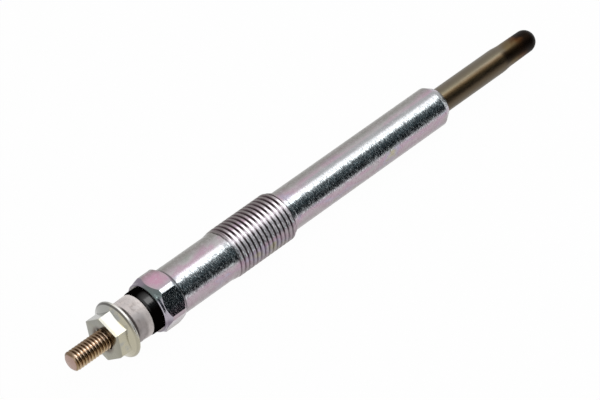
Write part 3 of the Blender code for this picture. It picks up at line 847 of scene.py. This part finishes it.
def shell_profile():
    """Stations and radii of the shell's outside, from the hexagon end to the seat."""
    land = [(0, 0), (0, 4.775), (0.15, 4.925), (0.80, 4.925), (0.80, UPPER_RADIUS), (6.5, UPPER_RADIUS)]
    shank = [(station, UPPER_RADIUS) for station in (THREAD_START - 0.7, THREAD_CUT, THREAD_START)]
    run_in = [(THREAD_START + 1.0, 4.795)]
    span = THREAD_LAST - THREAD_FULL
    band = [(THREAD_FULL + span * i / THREAD_TURNS, THREAD_RADIUS) for i in range(THREAD_TURNS + 1)]
    steps = [(THREAD_LAST + 0.48 * i, THREAD_RADIUS - 0.262 * i) for i in (1, 2, 3)]
    lead = [point for x, radius in steps for point in ((x - 0.30, radius + 0.02), (x, radius))]
    lead += [(THREAD_END, 4.09), (THREAD_END + 0.1, LOWER_RADIUS)]
    lower_shank = [(THREAD_END + 0.3, LOWER_RADIUS), (73.15, LOWER_RADIUS)]
    seat = [(73.45, LOWER_RADIUS), (74.85, 3.2), (75.0, 3.05), (75.0, 0)]
    return land + shank + run_in + band + lead + lower_shank + seat


class GLOWPLUG_OT_shell(bpy.types.Operator):
    """Turns the shell, joins its hexagon, bores it and cuts the M10 thread"""

    bl_idname = "glowplug.shell"
    bl_label = "Shell"

    def execute(self, context):
        sizes = context.scene.plug_sizes
        shell = turned("shell_body", shell_profile(), SHELL_SEGMENTS)
        envelope = [(0.513, 0), (0.513, 4.845), (1.25, 5.525), (4.283, 5.525), (5.35, 4.62), (5.35, 0)]
        hexagon = hexagonal_bar("shell_hexagon", HEX_ACROSS_FLATS, 0.175, 11.0, HEX_CORNER)
        combine(hexagon, turned("hexagon_chamfers", envelope, SHELL_SEGMENTS), "INTERSECT")
        combine(shell, hexagon, "UNION")
        bore = [(76.3, 0), (76.3, 2.55), (7.4, 2.55), (7.4, 3.3), (-0.5, 3.3), (-0.5, 0)]
        combine(shell, turned("shell_bore", bore, SHELL_SEGMENTS), "DIFFERENCE")
        round_edges(shell, sizes.edge_round, between=(-0.1, 4.4))
        round_edges(shell, sizes.hex_round, between=(4.15, 6.4), segments=3, sharper_than=12)
        round_edges(shell, sizes.edge_round, between=(72.5, 76.0))
        slice_along(shell, THREAD_CUT, THREAD_END, 15, INSIDE_THREAD)
        cut_thread(
            shell,
            (THREAD_CUT, THREAD_END),
            THREAD_RADIUS,
            sizes.shell_groove,
            sizes.shell_pitch,
            phase=0.1,
            run_out=1.6,
            inner=INSIDE_THREAD,
            crest_share=0.46,
        )
        smooth(shell)
        place(shell, ["shell"])
        wear(shell, bright_plate(context.scene.plug_colours))
        return {"FINISHED"}


class GLOWPLUG_OT_stud(bpy.types.Operator):
    """Turns the centre rod and cuts the M4 thread on its terminal stud"""

    bl_idname = "glowplug.stud"
    bl_label = "Centre rod and stud"

    def execute(self, context):
        sizes = context.scene.plug_sizes
        start, end = (station_of(corner.x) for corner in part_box("centre_rod"))
        face = [(start, 0), (start, 1.35), (start + 0.06, 1.5), (start + 0.25, 1.75)]
        band = [(start + 0.45 + 0.7 * i, STUD_RADIUS) for i in range(STUD_TURNS + 1)]
        rod = [(8.6, STUD_RADIUS), (8.9, ROD_RADIUS), (ROD_STEP, ROD_RADIUS)]
        rod += [(ROD_STEP + 0.3, TAIL_RADIUS), (end - SPIGOT_LENGTH, TAIL_RADIUS)]
        spigot = [(end - SPIGOT_LENGTH, SPIGOT_RADIUS), (end, SPIGOT_RADIUS), (end, 0)]
        stud = turned("terminal_stud", face + band + rod + spigot, ROD_SEGMENTS)
        last = band[-1][0]
        cut = (start + 0.05, last)
        slice_along(stud, start + 0.24, last, 13, 1.4)
        cut_thread(stud, cut, STUD_RADIUS, sizes.stud_groove, sizes.stud_pitch, phase=0.35, inner=1.3)
        smooth(stud)
        place(stud, ["centre_rod"])
        wear(stud, stud_finish(context.scene.plug_colours))
        return {"FINISHED"}


class GLOWPLUG_OT_nut(bpy.types.Operator):
    """Forms the terminal nut: a chamfered hexagon on a conical flange"""

    bl_idname = "glowplug.nut"
    bl_label = "Terminal nut"

    def execute(self, context):
        sizes = context.scene.plug_sizes
        edge = arc(-7.033, RIM_RADIUS - RIM_EDGE, RIM_EDGE, 0, 150.9, 12)
        flange = [(-6.613, 0), (-6.613, RIM_RADIUS - 0.8)] + edge + [(-8.15, 3.76), (-8.15, 0)]
        nut = turned("terminal_nut", flange, SHELL_SEGMENTS)
        envelope = [(-6.94, 0), (-6.94, 4.75), (-10.45, 4.75), (-10.55, 4.5), (-10.55, 0)]
        hexagon = hexagonal_bar("nut_hexagon", NUT_ACROSS_FLATS, -14.5, -6.83, NUT_CORNER)
        combine(hexagon, turned("nut_chamfer", envelope, SHELL_SEGMENTS), "INTERSECT")
        combine(nut, hexagon, "UNION")
        bore = [(-6.2, 0), (-6.2, 2.0), (-10.2, 2.0), (-10.9, 2.7), (-10.9, 0)]
        combine(nut, turned("nut_bore", bore, ROD_SEGMENTS), "DIFFERENCE")
        round_edges(nut, sizes.nut_round, segments=3, sharper_than=24)
        smooth(nut, 40)
        place(nut, ["flange_nut"])
        wear(nut, nut_finish(context.scene.plug_colours))
        return {"FINISHED"}


class GLOWPLUG_OT_collar(bpy.types.Operator):
    """Turns the collar and presses its three crimping dents"""

    bl_idname = "glowplug.collar"
    bl_label = "Crimp collar"

    def execute(self, context):
        sizes = context.scene.plug_sizes
        straight = [(-6.25 + 3.85 * i / 16, 4.15 + 0.08 * i / 16) for i in range(17)]
        outline = (
            [(-6.55, 2.0)]
            + arc(-6.30, 3.90, 0.25, 180, 90)[:-1]
            + straight
            + arc(-2.35, 3.98, 0.25, 90, 0)[1:]
            + [(-2.1, 2.0)]
        )
        collar = turned("crimp_ring", outline, SHELL_SEGMENTS, ring=True)
        for v in collar.data.vertices:
            y, z = v.co.y, v.co.z - AXIS_HEIGHT
            radius = math.hypot(y, z)
            if radius < 3.5 * MM:
                continue
            angle = math.degrees(math.atan2(y, -z))
            apart = station_of(v.co.x) - DENT_STATION
            for i in range(DENT_COUNT):
                turn = (angle - DENT_ANGLE - 360 / DENT_COUNT * i + 180) % 360 - 180
                reach = math.hypot(apart / DENT_HALF_LENGTH, turn / DENT_HALF_ANGLE)
                if reach < 1:
                    depth = sizes.dent_depth * (1 - reach * reach) ** 1.2
                    v.co.y = y * (1 - depth / radius)
                    v.co.z = AXIS_HEIGHT + z * (1 - depth / radius)
        collar.data.update()
        smooth(collar, 40)
        place(collar, ["crimp_collar"])
        wear(collar, collar_finish(context.scene.plug_colours))
        return {"FINISHED"}


class GLOWPLUG_OT_insulator(bpy.types.Operator):
    """Moulds the insulator bush with its rounded flange and its sleeve"""

    bl_idname = "glowplug.insulator"
    bl_label = "Insulator bush"

    def execute(self, context):
        outline = (
            [(4.6, 2.0), (4.6, 2.95), (4.3, 3.25), (-0.05, 3.25), (-0.05, 4.30), (-0.10, 4.35)]
            + arc(-1.60, 3.90, 0.45, 90, 180, 8)
            + [(-2.05, 2.0)]
        )
        bush = turned("insulator_moulding", outline, SHELL_SEGMENTS, ring=True)
        smooth(bush, 40)
        place(bush, ["insulator_bush"])
        wear(bush, moulding_finish(context.scene.plug_colours))
        return {"FINISHED"}


class GLOWPLUG_OT_sheath(bpy.types.Operator):
    """Draws the glow tube with its swaged, domed tip"""

    bl_idname = "glowplug.sheath"
    bl_label = "Glow tube"

    def execute(self, context):
        mouth, tip = (station_of(corner.x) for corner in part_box("glow_tube"))
        centre = tip - TIP_RADIUS
        swaged = tip - SWAGE_FROM_TIP
        full = swaged - SWAGE_LENGTH
        body = [(mouth, TUBE_RADIUS)] + [(mouth + (full - mouth) * i / 12, TUBE_RADIUS) for i in range(1, 12)]
        narrowing = [SWAGE_DEPTH * (0.5 - 0.5 * math.cos(math.pi * i / 8)) for i in range(9)]
        swage = [(full + SWAGE_LENGTH * i / 8, TUBE_RADIUS - less) for i, less in enumerate(narrowing)]
        outside = body + swage + arc(centre, 0.0, TIP_RADIUS, 90, 0, 14)[:-1]
        inside = arc(centre, 0.0, TIP_BORE, 0, 90, 8)[1:]
        inside += [(swaged, 1.815), (full, TUBE_BORE), (mouth, TUBE_BORE)]
        sheath = turned_tube("heating_sheath", outside, tip, inside, centre + TIP_BORE, TUBE_SEGMENTS)
        smooth(sheath, 40)
        place(sheath, ["glow_tube"])
        wear(sheath, sheath_finish(context.scene.plug_colours))
        return {"FINISHED"}


class GLOWPLUG_OT_inner_parts(bpy.types.Operator):
    """Gives the hidden seals, powder and coils their finishes"""

    bl_idname = "glowplug.inner_parts"
    bl_label = "Parts inside"

    def execute(self, context):
        rubber = simple_finish("seal_rubber", (0.035, 0.035, 0.035), (0.06, 0.06, 0.06), 0.5, 0.6, 0.0, 0.02)
        powder = simple_finish("magnesia_powder", (0.86, 0.85, 0.80), (0.78, 0.77, 0.71), 0.4, 0.8, 0.0, 0.02)
        nickel = simple_finish("nickel_wire", (0.62, 0.60, 0.56), (0.54, 0.51, 0.46), 0.5, 0.28, 1.0, 0.004)
        browned, dark = (0.42, 0.36, 0.32), (0.30, 0.23, 0.19)
        resistance = simple_finish("resistance_wire", browned, dark, 0.5, 0.36, 1.0, 0.004)
        finishes = {
            "o_ring": rubber,
            "tube_seal": rubber,
            "magnesia_fill": powder,
            "regulating_coil": nickel,
            "heating_coil": resistance,
        }
        for name, material in finishes.items():
            wear(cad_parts[name], material)
        return {"FINISHED"}


def seen(recipe):
    """1 where a camera, reflection or transmission ray looks, and 0 for the light that falls on things."""
    rays = recipe.node("ShaderNodeLightPath").socket.node.outputs
    looks = [Value(recipe, rays[name]) for name in ("Is Camera Ray", "Is Glossy Ray", "Is Transmission Ray")]
    return looks[0].larger(looks[1]).larger(looks[2])


class GLOWPLUG_OT_stage(bpy.types.Operator):
    """Sets the floor, the studio light and the camera"""

    bl_idname = "glowplug.stage"
    bl_label = "Stage"

    def execute(self, context):
        studio = context.scene.studio
        self.floor()
        self.card()
        self.light(studio)
        self.world(studio)
        self.camera(studio)
        return {"FINISHED"}

    def floor(self):
        """A wide round floor with a raised edge, white where it is looked at but for the plug's shadow."""
        leave_edit()
        bpy.ops.mesh.primitive_circle_add(vertices=96, radius=FLOOR_RADIUS, fill_type="NGON")
        floor = bpy.context.object
        floor.name = floor.data.name = "studio_floor"
        bpy.ops.object.mode_set(mode="EDIT")
        bpy.ops.mesh.select_all(action="SELECT")
        bpy.ops.mesh.inset(thickness=FLOOR_EDGE)
        bpy.ops.mesh.select_all(action="DESELECT")
        bpy.ops.mesh.select_non_manifold()
        bpy.ops.transform.translate(value=(0, 0, FLOOR_RISE))
        leave_edit()
        material, recipe, shader = new_material("pale_floor")
        material.node_tree.nodes.remove(shader)
        paper = recipe.node("ShaderNodeBsdfDiffuse", inputs={"Color": (0.88, 0.88, 0.88, 1.0)})
        white = recipe.node("ShaderNodeEmission", inputs={"Color": (1, 1, 1, 1), "Strength": 1.0})
        lit = recipe.node("ShaderNodeMixShader", inputs={0: seen(recipe) * 0.98, 1: paper, 2: white})
        recipe.feed(material.node_tree.nodes["Material Output"].inputs["Surface"], lit)
        wear(floor, material)

    def card(self):
        """A dark card standing on the floor on the camera's side, seen only in reflections."""
        leave_edit()
        middle = (0.42, -0.11, CARD_TOP / 2)
        bpy.ops.mesh.primitive_plane_add(size=1.0, location=middle, rotation=(math.pi / 2, 0, 0))
        card = bpy.context.object
        card.name = card.data.name = "dark_card"
        bpy.ops.object.mode_set(mode="EDIT")
        bpy.ops.mesh.select_all(action="SELECT")
        bpy.ops.transform.resize(value=(CARD_LENGTH, CARD_TOP - 0.001, 1.0), orient_type="LOCAL")
        leave_edit()
        card.select_set(True)
        bpy.ops.object.transform_apply(location=True, rotation=True, scale=True)
        card.visible_camera = False
        card.visible_diffuse = False
        card.visible_shadow = False
        material, recipe, shader = new_material("slate_card")
        _, _, height = recipe.axes(recipe.millimetres())
        felt = recipe.blend(recipe.noise(6.0, detail=3.0), (0.13, 0.175, 0.195), (0.14, 0.19, 0.21))
        shaded = recipe.blend(recipe.ease(height, 8.0, 150.0), (0.012, 0.015, 0.018), felt)
        recipe.feed(shader.inputs["Base Color"], shaded)
        shader.inputs["Roughness"].default_value = 1.0
        shader.inputs["Specular IOR Level"].default_value = 0.0
        wear(card, material)

    def light(self, studio):
        """One softbox over the plug, on the side that the axis leans away from the camera."""
        bpy.ops.object.light_add(type="AREA", location=(0.25, -0.056, AXIS_HEIGHT + SOFTBOX_HEIGHT))
        lamp = bpy.context.object
        lamp.name = lamp.data.name = "softbox"
        lamp.data.shape = "RECTANGLE"
        lamp.data.size = SOFTBOX_LENGTH
        lamp.data.size_y = SOFTBOX_WIDTH
        lamp.data.energy = studio.softbox * math.pi * SOFTBOX_WIDTH * SOFTBOX_LENGTH

    def world(self, studio):
        """Even light from all round, white where it is looked at."""
        world = bpy.data.worlds.new("studio")
        bpy.context.scene.world = world
        world.use_nodes = True
        recipe = Recipe(world.node_tree)
        level = studio.fill + (1 - studio.fill) * seen(recipe)
        recipe.feed(world.node_tree.nodes["Background"].inputs["Color"], (1, 1, 1, 1))
        recipe.feed(world.node_tree.nodes["Background"].inputs["Strength"], level)

    def camera(self, studio):
        """The camera looks along the plug from above the stud's end."""
        azimuth, elevation = math.radians(CAMERA_AZIMUTH), math.radians(CAMERA_ELEVATION)
        reach = math.cos(elevation)
        back = Vector((math.sin(azimuth) * reach, -math.cos(azimuth) * reach, math.sin(elevation)))
        right = Vector((math.cos(azimuth), math.sin(azimuth), 0))
        up = back.cross(right)
        aim = at(AIM_STATION) - AIM_SHIFT * (0.575 * right - 0.818 * up)
        bpy.ops.object.camera_add(location=aim + studio.distance * back)
        camera = bpy.context.object
        camera.rotation_euler = Matrix((right, up, back)).transposed().to_euler()
        camera.data.lens = CAMERA_LENS
        camera.data.sensor_width = 36.0
        camera.data.clip_start = 0.01
        bpy.context.scene.camera = camera
        bpy.context.scene.view_settings.view_transform = "Standard"


PIECES = (
    GLOWPLUG_OT_shell,
    GLOWPLUG_OT_stud,
    GLOWPLUG_OT_nut,
    GLOWPLUG_OT_collar,
    GLOWPLUG_OT_insulator,
    GLOWPLUG_OT_sheath,
    GLOWPLUG_OT_inner_parts,
    GLOWPLUG_OT_stage,
)
GROUPS = {"plug_sizes": PlugSizes, "plug_colours": PlugColours, "studio": StudioSettings}


class GLOWPLUG_PT_panel(bpy.types.Panel):
    """Lists the pieces, sizes and colours of the plug"""

    bl_idname = "GLOWPLUG_PT_panel"
    bl_label = "Glow plug"
    bl_space_type = "VIEW_3D"
    bl_region_type = "UI"
    bl_category = "Glow plug"

    def draw(self, context):
        for piece in PIECES:
            self.layout.operator(piece.bl_idname)
        for name, group in GROUPS.items():
            box = self.layout.box()
            for setting in group.__annotations__:
                box.prop(getattr(context.scene, name), setting)


def register():
    """Registers the settings, the operators and the panel."""
    for name, group in GROUPS.items():
        bpy.utils.register_class(group)
        setattr(bpy.types.Scene, name, bpy.props.PointerProperty(type=group))
    for item in (*PIECES, GLOWPLUG_PT_panel):
        bpy.utils.register_class(item)


def unregister():
    """Takes them away again."""
    for item in (GLOWPLUG_PT_panel, *reversed(PIECES)):
        bpy.utils.unregister_class(item)
    for name, group in GROUPS.items():
        delattr(bpy.types.Scene, name)
        bpy.utils.unregister_class(group)


def main():
    """Builds every piece and the stage."""
    register()
    for piece in PIECES:
        namespace, action = piece.bl_idname.split(".")
        getattr(getattr(bpy.ops, namespace), action)()


if __name__ == "__main__":
    main()
